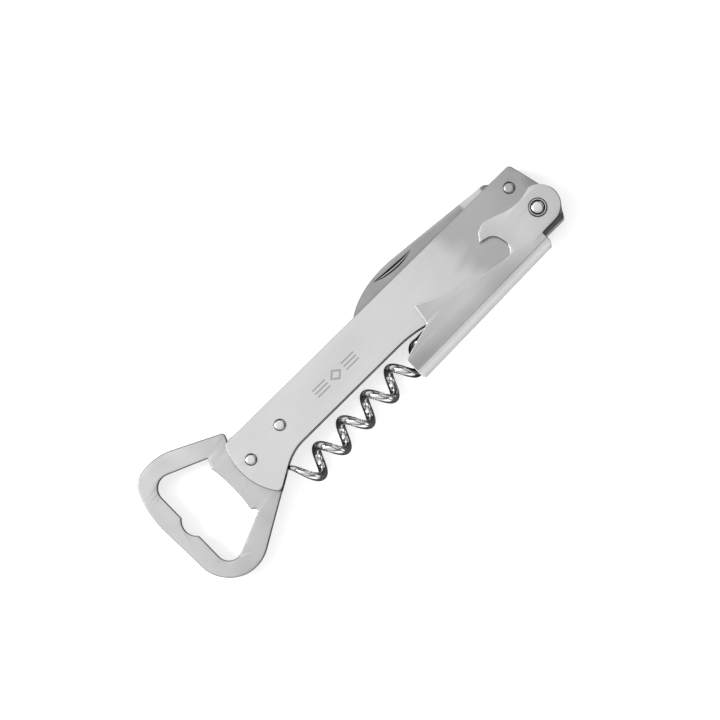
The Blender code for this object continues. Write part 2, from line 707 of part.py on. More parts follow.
def nail_nick():
    """The crescent groove that a thumbnail catches, cut into the front of the blade."""
    radius, half_chord, depth = 23.7 * MM, 6.65 * MM, 0.35 * MM
    half = math.degrees(math.asin(half_chord / radius))
    centre = (0, math.sqrt(radius**2 - half_chord**2))
    crescent = arc(centre, radius, 270 - half, 270 + half, math.radians(4))
    return prism("nail_nick", crescent, BLADE_THICKNESS / 2 - depth, BLADE_THICKNESS)


def knife(pivot, root):
    name = "knife_blade"
    half = BLADE_THICKNESS / 2
    blade = piece(name, prism(name, blade_outline(), -half, half), BLADE_STEEL, pivot)
    for side in (1, -1):
        shape(blade, "DIFFERENCE", grind_cutter(side))
    nick_place = (-BLADE_LENGTH + 18.65 * MM, BLADE_BACK - 1.45 * MM)
    shape(blade, "DIFFERENCE", nail_nick(), nick_place, math.radians(2))
    drill(blade, (0, 0), RIVET_SHANK + RUNNING_FIT)
    rivet("knife_pivot_rivet", RIVET_SHANK, RIVET_RIM, PLATE_OUTER, root, KNIFE_PIVOT)
    bore = RIVET_SHANK + RUNNING_FIT
    for side, word in ((1, "front"), (-1, "back")):
        name = f"knife_washer_{word}"
        low, high = sorted((side * (half + PIN_FIT), side * (PLATE_INNER - PIN_FIT)))
        piece(name, ring(name, bore, bore + WASHER_RIM, low, high), BRASS, root, KNIFE_PIVOT)


# ---- assembly ---------------------------------------------------------------------------------------


def stand_on_floor(root):
    """Moves the whole object so that its box is centred on the origin and stands on z = 0."""
    bpy.context.view_layer.update()
    graph = bpy.context.evaluated_depsgraph_get()
    low, high = Vector((1, 1, 1)), Vector((-1, -1, -1))
    for obj in bpy.context.scene.objects:
        if obj.type != "MESH" or obj.hide_render:
            continue
        solid = obj.evaluated_get(graph)
        for vertex in solid.to_mesh().vertices:
            place = solid.matrix_world @ vertex.co
            low, high = Vector(map(min, low, place)), Vector(map(max, high, place))
        solid.to_mesh_clear()
    root.location = (-(low.x + high.x) / 2, -(low.y + high.y) / 2, -low.z)
    bpy.context.view_layer.update()


def build():
    for obj in list(bpy.data.objects):
        bpy.data.objects.remove(obj, do_unlink=True)
    root = axis("handle_frame", None)
    side_plate("front_side_plate", 1, root)
    side_plate("back_side_plate", -1, root)
    opener_plate(root)
    rivet("tail_rivet", RIVET_SHANK, RIVET_RIM, PLATE_OUTER, root, TAIL_RIVET)
    rivet("neck_rivet", RIVET_SHANK, RIVET_RIM, PLATE_OUTER, root, NECK_RIVET)
    back_spring(root)
    half = PLATE_OUTER - PIN_FIT
    for name, place in zip(("spring_pin_left", "spring_pin_right"), SPRING_PINS):
        piece(name, round_bar(name, SPRING_PIN, -half, half), RIVET_STEEL, root, place)
    lever_axis = axis("lever_axis", root, (0, 0), LEVER_REST)
    lever(lever_axis)
    lever_pivot_parts(root, lever_axis)
    worm_axis = axis("worm_axis", root, WORM_PIVOT, WORM_LEAN)
    worm(worm_axis)
    worm_pivot_parts(root, worm_axis)
    knife_axis = axis("knife_axis", root, KNIFE_PIVOT, BLADE_LEAN)
    knife(knife_axis, root)
    stand_on_floor(root)


build()
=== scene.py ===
"""A folding lever corkscrew of stamped and folded stainless steel, lying shut on a white table.

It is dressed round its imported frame. Every place comes from that frame: the lever's pivot is the zero
from which the sheet metal is laid out, +X towards the head, +Y towards the blade, +Z square to the plates.
"""

import math

import bmesh
import bpy
from mathutils import Matrix, Vector


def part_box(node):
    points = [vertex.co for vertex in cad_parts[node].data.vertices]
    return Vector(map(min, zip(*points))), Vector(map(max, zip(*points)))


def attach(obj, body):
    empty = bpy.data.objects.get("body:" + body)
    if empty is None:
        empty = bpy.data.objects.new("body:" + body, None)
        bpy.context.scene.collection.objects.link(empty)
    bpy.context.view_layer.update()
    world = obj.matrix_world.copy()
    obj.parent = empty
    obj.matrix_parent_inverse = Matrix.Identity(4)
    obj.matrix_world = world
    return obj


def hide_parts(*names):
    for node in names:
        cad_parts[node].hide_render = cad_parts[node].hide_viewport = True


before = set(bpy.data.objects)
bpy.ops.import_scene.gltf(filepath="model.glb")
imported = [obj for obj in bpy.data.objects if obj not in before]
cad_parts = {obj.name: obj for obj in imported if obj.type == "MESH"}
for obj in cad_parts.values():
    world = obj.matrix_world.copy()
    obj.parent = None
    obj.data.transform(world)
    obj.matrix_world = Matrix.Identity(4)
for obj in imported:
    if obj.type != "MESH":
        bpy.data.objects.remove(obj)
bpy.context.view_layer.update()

mm = 0.001


# ---- Bottle opener plate ----------------------------------------------------------------------------
# A plate of 3 mm stainless steel. One blow of the press cuts its outline and the mouth for the cap, and
# tumbling then leaves it matt with soft edges. Its tang lies between the side plates, under two rivets.


def centre_of(node):
    low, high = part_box(node)
    return (low + high) / 2


pivot = centre_of("lever_pivot_rivet")
front_low, front_high = (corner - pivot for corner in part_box("front_side_plate"))
tail_end, neck_top = front_low.x, front_high.y
opener_low, opener_high = (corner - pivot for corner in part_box("bottle_opener_plate"))
opener_half = opener_high.z
neck_bottom = -0.2 * mm
neck_middle = (neck_bottom + neck_top) / 2
tail_rivet_place = (centre_of("tail_rivet") - pivot).xy
neck_rivet_place = (centre_of("neck_rivet") - pivot).xy
rivet_shank = 1.1 * mm
rivet_hole = rivet_shank + 0.05 * mm

flare_slope = math.radians(30.6)
flare_start = Vector((tail_end + 13.86 * mm, neck_bottom))
fine = math.radians(3.0)


def arc(centre, radius, start, end):
    """Points along a circle from one angle to another, in degrees."""
    a, b = math.radians(start), math.radians(end)
    count = max(3, math.ceil(abs(b - a) / fine))
    angles = [a + (b - a) * i / count for i in range(count + 1)]
    return [Vector((centre[0] + radius * math.cos(t), centre[1] + radius * math.sin(t))) for t in angles]


def bends(start, heading, turns):
    """Points along arcs that run on from each other, each a (radius, degrees) turn to the right."""
    points = [Vector(start)]
    for radius, turn in turns:
        out = math.radians(heading + 90)
        centre = points[-1] - Vector((math.cos(out), math.sin(out))) * radius
        points += arc(centre, radius, heading + 90, heading + 90 - turn)[1:]
        heading -= turn
    return points


def rounded(corners):
    """An outline through corners given as (x, y, fillet radius). Fillets that meet are cut back."""
    places = [Vector(corner[:2]) for corner in corners]
    count = len(places)
    runs = [places[(i + 1) % count] - places[i] for i in range(count)]
    cuts = []
    for i, corner in enumerate(corners):
        half = runs[i].angle(-runs[i - 1]) / 2
        cuts.append(corner[2] / math.tan(half) if len(corner) == 3 else 0.0)
    wanted = [cuts[i] + cuts[(i + 1) % count] for i in range(count)]
    room = [0.98 * run.length / max(want, run.length) for run, want in zip(runs, wanted)]
    points = []
    for i, corner in enumerate(places):
        cut = cuts[i] * min(room[i - 1], room[i])
        before, after = -runs[i - 1].normalized(), runs[i].normalized()
        if cut < 1e-6:
            points.append(corner)
            continue
        half = before.angle(after) / 2
        radius = cut * math.tan(half)
        middle = corner + (before + after).normalized() * (radius / math.sin(half))
        first, last = corner + before * cut - middle, corner + after * cut - middle
        turn = first.angle_signed(last)
        steps = max(2, math.ceil(abs(turn) / fine))
        points += [middle + Matrix.Rotation(-turn * k / steps, 2) @ first for k in range(steps + 1)]
    return points


def hole(place, radius, count=48):
    turns = (math.tau * i / count for i in range(count))
    return [Vector((place[0] + radius * math.cos(t), place[1] + radius * math.sin(t))) for t in turns]


def stamping(name, outlines, low, high, softness):
    """A mesh cut from sheet: the first outline less the others, its edges rounded on both faces."""
    curve = bpy.data.curves.new(name, "CURVE")
    curve.dimensions = "2D"
    curve.fill_mode = "BOTH"
    curve.extrude = (high - low) / 2 - softness
    curve.bevel_depth = softness
    curve.bevel_resolution = 3
    curve.offset = -softness
    for outline in outlines:
        spline = curve.splines.new("POLY")
        spline.points.add(len(outline) - 1)
        for point, place in zip(spline.points, outline):
            point.co = (place[0], place[1], 0, 1)
        spline.use_cyclic_u = True
    cutter = bpy.data.objects.new(name, curve)
    bpy.context.scene.collection.objects.link(cutter)
    graph = bpy.context.evaluated_depsgraph_get()
    mesh = bpy.data.meshes.new_from_object(cutter.evaluated_get(graph))
    bpy.data.objects.remove(cutter)
    mesh.transform(Matrix.Translation((0, 0, (low + high) / 2)))
    return cleaned(mesh)


def cleaned(mesh, weld=2e-7):
    bm = bmesh.new()
    bm.from_mesh(mesh)
    bmesh.ops.remove_doubles(bm, verts=bm.verts, dist=weld)
    bmesh.ops.dissolve_degenerate(bm, edges=bm.edges, dist=weld)
    bmesh.ops.recalc_face_normals(bm, faces=bm.faces)
    bm.to_mesh(mesh)
    bm.free()
    return mesh


def fitted(name, mesh, finishes, body, at=pivot, turn=0.0, replaces=(), sharp=42):
    """Puts a finished piece in its place on its body, shaded flat on faces and smooth round edges."""
    piece = bpy.data.objects.new(name, mesh)
    bpy.context.scene.collection.objects.link(piece)
    piece.location = at
    piece.rotation_euler = (0, 0, turn)
    for finish in finishes:
        mesh.materials.append(finish.material)
    mesh.shade_smooth()
    mesh.set_sharp_from_angle(angle=math.radians(sharp))
    weighted = piece.modifiers.new("flat faces", "WEIGHTED_NORMAL")
    weighted.keep_sharp = True
    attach(piece, body)
    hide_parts(*replaces)
    return piece


def edges_to_slot(mesh, index=1, level=0.93):
    """Gives the rounded and sheared edges of a flat stamping their own finish."""
    for face in mesh.polygons:
        if abs(face.normal.z) < level:
            face.material_index = index


class Finish:
    """A metal finish under construction: a shader and the nodes that feed it."""

    def __init__(self, name, metallic=1.0):
        self.material = bpy.data.materials.new(name)
        self.material.use_nodes = True
        self.tree = self.material.node_tree
        self.shader = self.tree.nodes["Principled BSDF"]
        self.shader.inputs["Metallic"].default_value = metallic
        self.space = self.node("ShaderNodeTexCoord").outputs["Object"]

    def node(self, kind, **settings):
        made = self.tree.nodes.new(kind)
        for key, value in settings.items():
            setattr(made, key, value)
        return made

    def put(self, value, socket):
        """Links another node's output to a socket, or sets the socket to a plain value."""
        if isinstance(value, bpy.types.NodeSocket):
            self.tree.links.new(value, socket)
        else:
            socket.default_value = value

    def feed(self, made, **sockets):
        for name, value in sockets.items():
            self.put(value, made.inputs[name.replace("_", " ")])

    def stretched(self, scale, turn=0.0):
        """The piece's own space, scaled per metre along each axis."""
        mapping = self.node("ShaderNodeMapping")
        self.feed(mapping, Vector=self.space, Scale=scale, Rotation=(0, 0, turn))
        return mapping.outputs["Vector"]

    def noise(self, scale, detail=3.0, rough=0.5, turn=0.0):
        made = self.node("ShaderNodeTexNoise")
        self.feed(made, Vector=self.stretched(scale, turn), Scale=1.0, Detail=detail, Roughness=rough)
        return made.outputs["Fac"]

    def level(self, value, low, high, to_low, to_high):
        made = self.node("ShaderNodeMapRange")
        self.feed(made, Value=value, From_Min=low, From_Max=high, To_Min=to_low, To_Max=to_high)
        return made.outputs["Result"]

    def combine(self, first, second, operation="ADD"):
        made = self.node("ShaderNodeMath", operation=operation)
        for socket, value in zip(made.inputs, (first, second)):
            self.put(value, socket)
        return made.outputs["Value"]

    def mix(self, share, first, second, blend="MIX"):
        """A mix of two colours, its sockets found by identifier, as their names repeat for other types."""
        made = self.node("ShaderNodeMix", data_type="RGBA", blend_type=blend, clamp_factor=True)
        sockets = {socket.identifier: socket for socket in made.inputs}
        for key, value in (("Factor_Float", share), ("A_Color", first), ("B_Color", second)):
            self.put(value, sockets[key])
        return {socket.identifier: socket for socket in made.outputs}["Result_Color"]

    def base(self):
        return self.shader.inputs["Base Color"].links[0].from_socket

    def colour(self, share, dark, light):
        self.put(self.mix(share, (*dark, 1), (*light, 1)), self.shader.inputs["Base Color"])

    def rough(self, share, low, high):
        self.put(self.level(share, 0.0, 1.0, low, high), self.shader.inputs["Roughness"])

    def shade(self, stops, drift, axis="X"):
        """Scales the colour by place on the piece, as (millimetres, share) pairs, with cloudy borders; mostly
        painted shade.
        """
        split = self.node("ShaderNodeSeparateXYZ")
        self.feed(split, Vector=self.space)
        clouds = self.noise((60, 210, 60), detail=3.0)
        place = self.combine(split.outputs[axis], self.level(clouds, 0.25, 0.75, -drift, drift))
        first, last = stops[0][0], stops[-1][0]
        ramp = self.node("ShaderNodeValToRGB")
        ramp.color_ramp.interpolation = "EASE"
        elements = ramp.color_ramp.elements
        for element, (_, level) in zip(elements, (stops[0], stops[-1])):
            element.color = (level, level, level, 1)
        for where, level in stops[1:-1]:
            elements.new((where - first) / (last - first)).color = (level, level, level, 1)
        self.feed(ramp, Fac=self.level(place, first * mm, last * mm, 0.0, 1.0))
        shaded = self.mix(1.0, self.base(), ramp.outputs["Color"], "MULTIPLY")
        self.put(shaded, self.shader.inputs["Base Color"])

    def relief(self, height, depth):
        bump = self.node("ShaderNodeBump")
        self.feed(bump, Height=height, Distance=depth, Strength=1.0)
        self.put(bump.outputs["Normal"], self.shader.inputs["Normal"])


def brushed(
    name, dark, light, low, high, grain, coarse, depth,
    turn=0.0, shade=(), across=(), drift=3 * mm, tint=(1, 1, 1), metallic=1.0,
):
    """Steel with a grain: fine scratches along one way, slow clouding over it, and faint relief.

    Grain and coarse are scales per metre. Shade scales the colour by place along the piece, across by place
    over it; mostly painted shade.
    """
    finish = Finish(name, metallic)
    scratches = finish.noise(grain, detail=4.0, rough=0.65, turn=turn)
    clouds = finish.noise(coarse, detail=2.0, turn=turn)
    fine_share, cloud_share = 0.45, 0.55
    both = finish.combine(
        finish.combine(scratches, fine_share, "MULTIPLY"), finish.combine(clouds, cloud_share, "MULTIPLY")
    )
    finish.colour(finish.level(both, 0.3, 0.7, 0.0, 1.0), [dark * t for t in tint], [light * t for t in tint])
    if shade:
        finish.shade(shade, drift)
    if across:
        finish.shade(across, 0.1 * mm, "Y")
    finish.rough(both, low, high)
    if depth:
        finish.relief(scratches, depth)
    return finish


def opener_outline():
    reach = opener_low.x
    heel = flare_start - Vector((math.cos(flare_slope), math.sin(flare_slope))) * 6.6 * mm
    shoulder = Vector((tail_end + 4.1 * mm, neck_top + 2.5 * mm))
    corner = 10.4 * mm
    lower_x = reach + 0.5 * mm + corner
    edge_y = flare_start.y + (lower_x - flare_start.x) * math.tan(flare_slope)
    middle = (lower_x, edge_y + corner / math.cos(flare_slope))
    lower = arc(middle, corner, 177, 270 + math.degrees(flare_slope))
    slope = 26.1
    upper = bends((reach, 0), 90, ((30 * mm, 22), (5.5 * mm, 56), (16 * mm, 12 + slope)))
    edge_y = shoulder.y + (shoulder.x - upper[-1].x) * math.tan(math.radians(slope))
    lift = Vector((0, edge_y - upper[-1].y))
    tang = neck_rivet_place.x + 4.0 * mm
    return rounded([
        (*shoulder, 0.8 * mm),
        *[(*(place + lift),) for place in upper[::-1]],
        *[(*place,) for place in lower],
        (*heel, 0.5 * mm),
        (heel.x + 2.5 * mm, neck_middle - 5.0 * mm, 1.0 * mm),
        (tang, neck_middle - 4.3 * mm, 1.5 * mm),
        (tang, neck_middle + 4.3 * mm, 1.5 * mm),
        (tail_end + 5.5 * mm, neck_middle + 5.1 * mm, 0.8 * mm),
        (tail_end + 2.9 * mm, neck_top - 0.1 * mm, 0.2 * mm),
    ])


def cap_mouth():
    """The hole for the cap: a curved lip with a tooth at each end, and a shallow notch opposite it."""
    back = opener_low.x + 5.6 * mm
    lip = back + 15.7 * mm
    level = neck_middle - 1.8 * mm
    curve = arc((lip - 45 * mm, level - 0.9 * mm), 45 * mm, -9.6, 9.6)
    recess = arc((back + 2.6 * mm, level - 0.3 * mm), 4.2 * mm, 128.2, 231.8)
    return rounded([
        (*curve[0], 0.5 * mm),
        *[(*place,) for place in curve[1:-1]],
        (*curve[-1], 0.5 * mm),
        (lip + 0.7 * mm, level + 9.4 * mm, 0.6 * mm),
        (back, level + 16.3 * mm, 3.9 * mm),
        (*recess[0], 0.5 * mm),
        *[(*place,) for place in recess[1:-1]],
        (*recess[-1], 0.5 * mm),
        (back, level - 17.1 * mm, 3.9 * mm),
        (lip + 0.45 * mm, level - 10.2 * mm, 0.4 * mm),
        (lip + 0.55 * mm, level - 9.3 * mm, 0.4 * mm),
    ])


# Painted shade: the opener's colour darkens near the front plate's tail arc (x about -102 to -92 mm) and
# towards -Y.
tumbled_steel = brushed(
    "tumbled_steel", 0.58, 0.74, 0.36, 0.5,
    (2600, 2600, 2600), (90, 60, 60), 0.004 * mm,
    shade=((-128, 1.0), (-122, 0.96), (-114, 1.0), (-108, 0.97), (-102, 0.84), (-98, 0.74), (-92, 0.72)),
    across=((-16, 0.85), (-6, 0.9), (6, 0.98), (25, 1.0)),
)
# Painted shade: the rounded and sheared edges take this darker copy of the opener's finish.
tumbled_edge_painted_shade = brushed(
    "tumbled_edge_painted_shade", 0.45, 0.60, 0.25, 0.42,
    (1800, 1800, 900), (200, 200, 200), 0.004 * mm,
)
mesh = stamping(
    "opener_plate",
    [opener_outline(), cap_mouth(), hole(tail_rivet_place, rivet_hole), hole(neck_rivet_place, rivet_hole)],
    -opener_half, opener_half, 0.3 * mm,
)
edges_to_slot(mesh)
fitted(
    "opener_plate", mesh, (tumbled_steel, tumbled_edge_painted_shade), "handle",
    replaces=["bottle_opener_plate"],
)


# ---- Side plates ------------------------------------------------------------------------------------
# Two like plates of 1.2 mm stainless sheet, brushed along the handle before they are pressed. The long
# upper edges keep the plain edge finish; the other edges carry painted shade, near-black. The front plate
# carries a small etched mark of bars and a lozenge.

knife_place = (centre_of("knife_pivot_rivet") - pivot).xy
worm_place = (centre_of("worm_pivot_pin") - pivot).xy
spring_pins = [(centre_of(f"spring_pin_{side}") - pivot).xy for side in ("left", "right")]
lever_pin = 1.5 * mm
worm_pin = 1.25 * mm
spring_pin = 0.8 * mm
pin_fit = 0.05 * mm
head_reach, head_bottom = front_high.x, front_low.y
plate_inner, plate_outer = front_low.z, front_high.z


def side_plate_outline():
    radius = 17 * mm
    tail = Vector((tail_end + radius, neck_middle - 1.5 * mm))
    top = 180 - math.degrees(math.asin((neck_top - tail.y) / radius))
    inward = flare_start - tail
    away = -Vector((math.cos(flare_slope), math.sin(flare_slope)))
    run = -inward.dot(away) + math.sqrt(radius**2 - inward.length_squared + inward.dot(away) ** 2)
    heel = inward + away * run
    end = arc(tail, radius, top, math.degrees(math.atan2(heel.y, heel.x)) % 360)
    shoulder = worm_place.x - 13 * mm
    sweep = (neck_bottom - head_bottom) / math.tan(math.radians(20))
    return rounded([
        (2.5 * mm, neck_top, 1.3 * mm),
        (*end[0], 0.8 * mm),
        *[(*place,) for place in end[1:-1]],
        (*end[-1], 0.4 * mm),
        (*flare_start, 15 * mm),
        (shoulder, neck_bottom, 34 * mm),
        (shoulder + sweep, head_bottom, 8 * mm),
        (head_reach - 2.25 * mm, head_bottom, 0.6 * mm),
        (head_reach, head_bottom + 3.85 * mm, 1.5 * mm),
        (head_reach, head_bottom + 8.75 * mm, 4 * mm),
    ])


def etched(finish, middle, low_z):
    """Darkens a lozenge between two groups of three bars on the upper face, as an acid etch does."""
    split = finish.node("ShaderNodeSeparateXYZ")
    finish.feed(split, Vector=finish.space)
    away_x, away_y = (
        finish.combine(finish.combine(split.outputs[axis], place, "SUBTRACT"), 0.0, "ABSOLUTE")
        for axis, place in zip("XY", middle)
    )
    slant = finish.combine(away_x, finish.combine(away_y, 1.2, "MULTIPLY"))
    lozenge, inner = (finish.combine(slant, size, "LESS_THAN") for size in (2.1 * mm, 1.3 * mm))
    rows = finish.combine(finish.combine(away_y, 0.55 * mm, "PINGPONG"), 0.22 * mm, "LESS_THAN")
    past = finish.combine(away_x, 3.0 * mm, "GREATER_THAN")
    short = finish.combine(away_x, 7.6 * mm, "LESS_THAN")
    low = finish.combine(away_y, 1.6 * mm, "LESS_THAN")
    span = finish.combine(past, short, "MULTIPLY")
    bars = finish.combine(finish.combine(rows, low, "MULTIPLY"), span, "MULTIPLY")
    marks = finish.combine(finish.combine(lozenge, inner, "SUBTRACT"), bars, "MAXIMUM")
    face = finish.combine(split.outputs["Z"], low_z, "GREATER_THAN")
    share = finish.combine(finish.combine(marks, face, "MULTIPLY"), 0.55, "MULTIPLY")
    dulled = finish.mix(share, finish.base(), (0.2, 0.2, 0.2, 1))
    finish.put(dulled, finish.shader.inputs["Base Color"])
    return finish


# Painted shade: the plates darken towards the head from beside the lever's hook (plate_shade), and go dark
# below the lever's lobe at the head's bottom (plate_across).
plate_shade = ((-38, 1.0), (-28, 0.95), (-20, 0.68), (-11, 0.68), (1, 0.6), (5, 0.45))
plate_across = ((-10, 0.2), (-5.6, 0.24), (-4.9, 1.0), (20, 1.0))
plate_steel = brushed(
    "plate_steel", 0.69, 0.79, 0.3, 0.42,
    (160, 5200, 3000), (40, 110, 80), 0.0025 * mm, shade=plate_shade, across=plate_across,
)
marked_steel = etched(
    brushed(
        "marked_plate_steel", 0.69, 0.79, 0.3, 0.42,
        (160, 5200, 3000), (40, 110, 80), 0.0025 * mm, shade=plate_shade, across=plate_across,
    ),
    (tail_end + 36.3 * mm, neck_middle - 0.6 * mm), plate_outer - 0.05 * mm,
)
sheared_edge = brushed(
    "sheared_edge", 0.60, 0.72, 0.26, 0.42,
    (300, 300, 6000), (160, 160, 160), 0.004 * mm, metallic=0.6,
)
edge_painted_shade = brushed("edge_painted_shade", 0.05, 0.1, 0.3, 0.45, (300, 300, 6000), (160, 160, 160), 0.003 * mm)
for node, faces, side in (("front_side_plate", marked_steel, 1), ("back_side_plate", plate_steel, -1)):
    low, high = sorted((side * plate_inner, side * plate_outer))
    holes = [
        hole((0, 0), lever_pin + pin_fit),
        hole(knife_place, rivet_hole),
        hole(worm_place, worm_pin + pin_fit),
        hole(tail_rivet_place, rivet_hole), hole(neck_rivet_place, rivet_hole),
        *[hole(place, spring_pin + pin_fit) for place in spring_pins],
    ]
    mesh = stamping(f"{node}_sheet", [side_plate_outline(), *holes], low, high, 0.2 * mm)
    edges_to_slot(mesh)
    # Painted shade: edges that do not face the blade side, apart from the head's bottom edge, turn
    # near-black.
    for face in mesh.polygons:
        if face.material_index == 1 and face.normal.y < 0.3 and face.center.y > head_bottom + 1 * mm:
            face.material_index = 2
    fitted(f"{node}_sheet", mesh, (faces, sheared_edge, edge_painted_shade), "handle", replaces=[node])


# ---- Tail rivets ------------------------------------------------------------------------------------
# Two solid stainless rivets clamp the opener's tang between the plates. Each is turned from bar, and a
# hollow punch closes its second head, which leaves a bright dome with a small flat on top.

rivet_rim = 0.55 * mm
rivet_rise = 0.7 * mm
seat_gap = 0.1 * mm


def turned(profile, closed, steps=72):
    """A profile of (radius, height) points, spun about Z. A closed profile makes a ring."""
    bm = bmesh.new()
    verts = [bm.verts.new((radius, 0, height)) for radius, height in profile]
    edges = [bm.edges.new(pair) for pair in zip(verts, verts[1:])]
    if closed:
        edges.append(bm.edges.new((verts[-1], verts[0])))
    bmesh.ops.spin(
        bm, geom=verts + edges, axis=(0, 0, 1), cent=(0, 0, 0), angle=math.tau, steps=steps, use_merge=True
    )
    mesh = bpy.data.meshes.new("turned")
    bm.to_mesh(mesh)
    bm.free()
    return cleaned(mesh)


def head(shank, rim, seat, rise):
    """Half of a rivet, from under its head to the middle of its dome."""
    edge = shank + rim
    flat = 0.5 * edge
    lip = 0.22 * rise
    dome = []
    for i in range(13):
        t = math.pi / 2 * i / 12
        dome.append((flat + (edge - flat) * math.cos(t), seat + lip + (rise - lip) * math.sin(t)))
    return [(shank, seat), (edge - 0.1 * mm, seat), (edge, seat + 0.06 * mm), *dome, (0, seat + rise)]


def rivet(name, node, shank, rim, seat, place, finish):
    upper = head(shank, rim, seat, rivet_rise)
    profile = [(radius, -height) for radius, height in reversed(upper)] + upper
    mesh = turned(profile, False)
    # Painted shade: the steep sides of each head turn near-black, a dark ring round the dome.
    edges_to_slot(mesh, level=0.86)
    at = pivot + Vector((*place, 0))
    fitted(
        name, mesh, (finish, ring_painted_shade), "handle", at, replaces=[node], sharp=50
    )


rivet_steel = brushed(
    "rivet_steel", 0.74, 0.86, 0.16, 0.28,
    (1500, 1500, 1500), (600, 600, 600), 0.004 * mm,
)
ring_painted_shade = brushed(
    "ring_painted_shade", 0.03, 0.08, 0.16, 0.3, (1500, 1500, 1500), (600, 600, 600), 0.004 * mm
)
for node, place in (("tail_rivet", tail_rivet_place), ("neck_rivet", neck_rivet_place)):
    rivet(f"{node}_domed", node, rivet_shank, rivet_rim, plate_outer + seat_gap, place, rivet_steel)


# ---- Worm -------------------------------------------------------------------------------------------
# One length of 2.5 mm spring wire, wound right-handed on a mandrel, ground to a point, bent into an eye
# and then chromed bright. It turns on a flush pin between the side plates, with a thin washer each side.

wire_diameter = 2.5 * mm
worm_diameter = 8.7 * mm
worm_pitch = 9.4 * mm
worm_turns = 5.0
shank_length = 13.95 * mm
shank_offset = 2.35 * mm
tip_flare = 1.7 * mm
worm_lean = math.radians(2.58)
ease_length = 0.8 * wire_diameter
worm_length = shank_length + ease_length + worm_turns * worm_pitch
running_fit = 0.1 * mm


def smooth(share):
    share = min(1.0, max(0.0, share))
    return share * share * (3 - 2 * share)


def worm_point(distance):
    """The wire's middle, this far along from the eye: a straight shank, then the helix, then the tip."""
    if distance <= shank_length:
        return Vector((-distance, 0, 0))
    run = distance - shank_length
    turned_by = run * run / (4 * ease_length) if run < 2 * ease_length else run - ease_length
    phase = -math.tau * turned_by / worm_pitch
    mean = (worm_diameter - wire_diameter) / 2
    radius = shank_offset + (mean - shank_offset) * smooth(run / (2 * ease_length))
    radius += tip_flare * smooth(1 - (worm_length - distance) / (worm_pitch / 2))
    return Vector((-distance, radius * math.cos(phase) - shank_offset, radius * math.sin(phase)))


def wire_radius(distance):
    left = (worm_length - distance) / (0.42 * worm_pitch)
    full = wire_diameter / 2
    point = 0.42 * mm
    return full if left >= 1 else point + (full - point) * left**0.7


def wire_along(points, radii, sides=48):
    """A round wire, its rings carried along so that they never twist."""
    bm = bmesh.new()
    rings = []
    side = Vector((0, 0, 1))
    for i, point in enumerate(points):
        ahead = points[min(i + 1, len(points) - 1)] - points[max(i - 1, 0)]
        ahead.normalize()
        side = (side - ahead * side.dot(ahead)).normalized()
        up = ahead.cross(side)
        angles = (math.tau * k / sides for k in range(sides))
        outwards = [side * math.cos(t) + up * math.sin(t) for t in angles]
        rings.append([bm.verts.new(point + outward * radii[i]) for outward in outwards])
    for a, b in zip(rings, rings[1:]):
        for k in range(sides):
            bm.faces.new((a[k], a[(k + 1) % sides], b[(k + 1) % sides], b[k]))
    bm.faces.new(rings[0])
    bm.faces.new(rings[-1])
    bmesh.ops.recalc_face_normals(bm, faces=bm.faces)
    mesh = bpy.data.meshes.new("wire")
    bm.to_mesh(mesh)
    bm.free()
    return mesh


def joined(first, second, operation="UNION"):
    """Two closed meshes made one."""
    target, other = (bpy.data.objects.new("joining", mesh) for mesh in (first, second))
    for each in (target, other):
        bpy.context.scene.collection.objects.link(each)
    join = target.modifiers.new("join", "BOOLEAN")
    join.operation = operation
    join.solver = "EXACT"
    join.object = other
    graph = bpy.context.evaluated_depsgraph_get()
    mesh = bpy.data.meshes.new_from_object(target.evaluated_get(graph))
    for each in (target, other):
        bpy.data.objects.remove(each)
    return mesh


# Painted shade: the wire is dark within about 22 mm of its eye, where it runs under the lever into the
# handle.
chromed_wire = brushed(
    "chromed_wire", 0.88, 0.96, 0.14, 0.2,
    (900, 900, 900), (220, 220, 220), 0.0, shade=((-70, 1.0), (-25, 1.0), (-21.5, 0.3), (2, 0.2)),
)
bright_pin = brushed(
    "bright_pin", 0.55, 0.70, 0.2, 0.36,
    (2200, 2200, 2200), (500, 500, 500), 0.004 * mm,
)
washer_brass = brushed(
    "washer_brass", 0.60, 0.78, 0.25, 0.45,
    (1600, 1600, 1600), (400, 400, 400), 0.004 * mm, tint=(1.0, 0.74, 0.36),
)

eye_radius = worm_pin + running_fit + wire_diameter / 2
stations = [eye_radius + (shank_length - eye_radius) * i / 12 for i in range(12)]
coil_steps = round((worm_length - shank_length) / worm_pitch * 96)
stations += [shank_length + (worm_length - shank_length) * i / coil_steps for i in range(coil_steps + 1)]
wire = wire_along([worm_point(d) for d in stations], [wire_radius(d) for d in stations])
eye_section = [
    (eye_radius + wire_diameter / 2 * math.cos(t), 0.995 * wire_diameter / 2 * math.sin(t))
    for t in (math.tau * (i + 0.5) / 40 for i in range(40))
]
fitted(
    "chromed_worm", joined(wire, turned(eye_section, True)), (chromed_wire,), "worm",
    pivot + Vector((*worm_place, 0)), worm_lean, ["worm"], sharp=60,
)


def flush_pin(name, node, radius, place):
    """A short pin, ground flush with the plates, its rims chamfered."""
    half = plate_outer - pin_fit
    rim = 0.15 * mm
    profile = [(0, -half), (radius - rim, -half), (radius, rim - half)]
    profile += [(radius, half - rim), (radius - rim, half), (0, half)]
    at = pivot + Vector((*place, 0))
    fitted(name, turned(profile, False, 48), (bright_pin,), "handle", at, replaces=[node])


